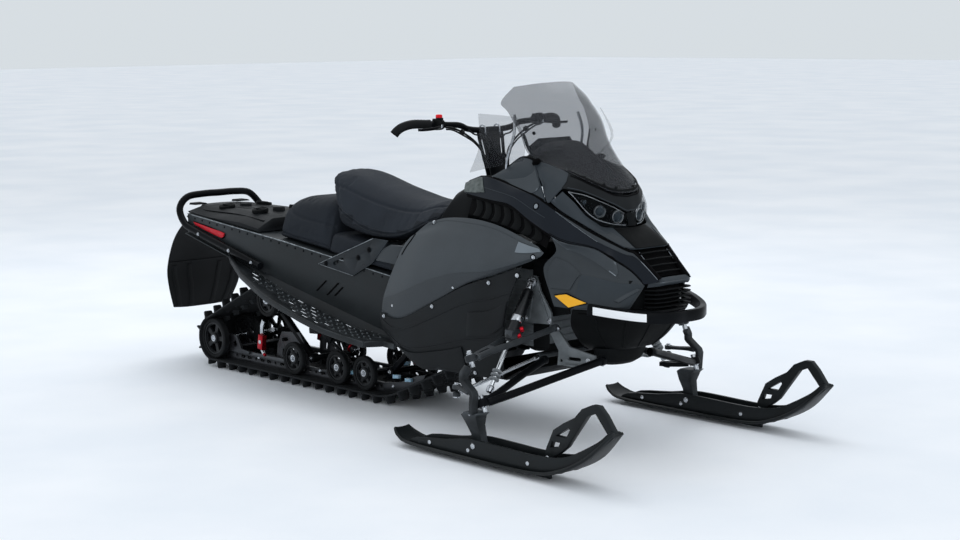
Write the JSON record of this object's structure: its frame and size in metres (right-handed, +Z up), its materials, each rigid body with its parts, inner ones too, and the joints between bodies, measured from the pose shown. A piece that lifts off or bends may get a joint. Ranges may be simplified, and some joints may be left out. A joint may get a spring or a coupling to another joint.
{
  "type": "trail snowmobile",
  "caption": "Two-seat trail snowmobile with steered front skis, a rubber drive track, a stepped seat, faceted body panels and a tall smoked windshield.",
  "frame": {"origin": "on the ground plane below the middle of the machine's length and width", "axes": "+X towards the skis, +Y towards the rider's left, +Z up"},
  "size_m": [3.069, 1.1996, 1.253],
  "materials": {
    "frame_black": "satin",
    "board_black": "satin",
    "bar_black": "satin",
    "flap_rubber": "matte",
    "red_lens": "gloss",
    "seat_vinyl": "satin",
    "grey_plastic": "satin",
    "hood_plastic": "gloss",
    "nose_plastic": "satin",
    "side_plastic": "satin",
    "low_plastic": "matte",
    "clear_lens": "gloss",
    "amber_lens": "gloss",
    "smoked_screen": "gloss",
    "cast_alloy": "satin",
    "shock_metal": "satin",
    "track_rubber": "matte",
    "rail_metal": "satin",
    "wheel_rubber": "matte",
    "grip_rubber": "matte",
    "cable_black": "satin",
    "bright_metal": "satin",
    "ski_plastic": "satin"
  },
  "bodies": {
    "chassis": {"tunnel": "frame_black", "tail_deck": "grey_plastic", "seat_brackets": "frame_black", "running_boards": "board_black", "rear_bumper": "bar_black", "snow_flap": "flap_rubber", "tail_lights": "red_lens", "passenger_seat": "seat_vinyl", "driver_seat": "seat_vinyl", "tank_cover": "grey_plastic", "hood": "hood_plastic", "nose": "nose_plastic", "side_panels": "side_plastic", "lower_panels": "low_plastic", "belly_pan": "low_plastic", "front_bumper": "nose_plastic", "front_grille": "low_plastic", "headlights": "clear_lens", "side_reflectors": "amber_lens", "windshield": "smoked_screen", "side_deflectors": "smoked_screen", "dash": "low_plastic", "louvre_panels": "low_plastic", "engine": "cast_alloy", "front_frame": "cast_alloy", "upper_arms": "frame_black", "lower_arms": "frame_black", "front_shocks": "shock_metal", "track": "track_rubber", "slide_rails": "rail_metal", "rear_idler_wheels": "wheel_rubber", "rail_wheels": "wheel_rubber", "upper_idler_wheels": "wheel_rubber", "drive_sprockets": "low_plastic", "suspension_arms": "frame_black", "rear_shocks": "shock_metal"},
    "handlebar": {"handlebar": "bar_black", "hand_grips": "grip_rubber", "control_pods": "low_plastic", "control_cables": "cable_black"},
    "steering_link": {"tie_rods": "bright_metal"},
    "spindle_left": {"spindle_left": "frame_black"},
    "spindle_right": {"spindle_right": "frame_black"},
    "ski_left": {"ski_left": "ski_plastic"},
    "ski_right": {"ski_right": "ski_plastic"}
  },
  "joints": [
    {"name": "handlebar_turn", "type": "hinge", "parent": "chassis", "child": "handlebar", "pos_m": [0.392, 0, 1.07], "axis": [-0.2157, 0, 0.9765], "range_deg": [-33, 33]},
    {"name": "spindle_left_turn", "type": "hinge", "parent": "chassis", "child": "spindle_left", "pos_m": [0.924, 0.5385, 0.204], "axis": [-0.3646, 0, 0.9311], "range_deg": [-27, 27]},
    {"name": "spindle_right_turn", "type": "hinge", "parent": "chassis", "child": "spindle_right", "pos_m": [0.924, -0.5385, 0.204], "axis": [-0.3646, 0, 0.9311], "range_deg": [-27, 27]},
    {"name": "steering_link_slide", "type": "slide", "parent": "chassis", "child": "steering_link", "axis": [0, 1, 0], "range_m": [-0.052, 0.052]},
    {"name": "ski_left_rock", "type": "hinge", "parent": "spindle_left", "child": "ski_left", "pos_m": [0.92, 0.5385, 0.062], "axis": [0, 1, 0], "range_deg": [-10, 10]},
    {"name": "ski_right_rock", "type": "hinge", "parent": "spindle_right", "child": "ski_right", "pos_m": [0.92, -0.5385, 0.062], "axis": [0, 1, 0], "range_deg": [-10, 10]}
  ],
  "couplings": [
    {"joint": "spindle_left_turn", "follows": "handlebar_turn", "ratio": 0.8},
    {"joint": "spindle_right_turn", "follows": "handlebar_turn", "ratio": 0.8},
    {"joint": "steering_link_slide", "follows": "handlebar_turn", "m_per_rad": -0.084}
  ]
}
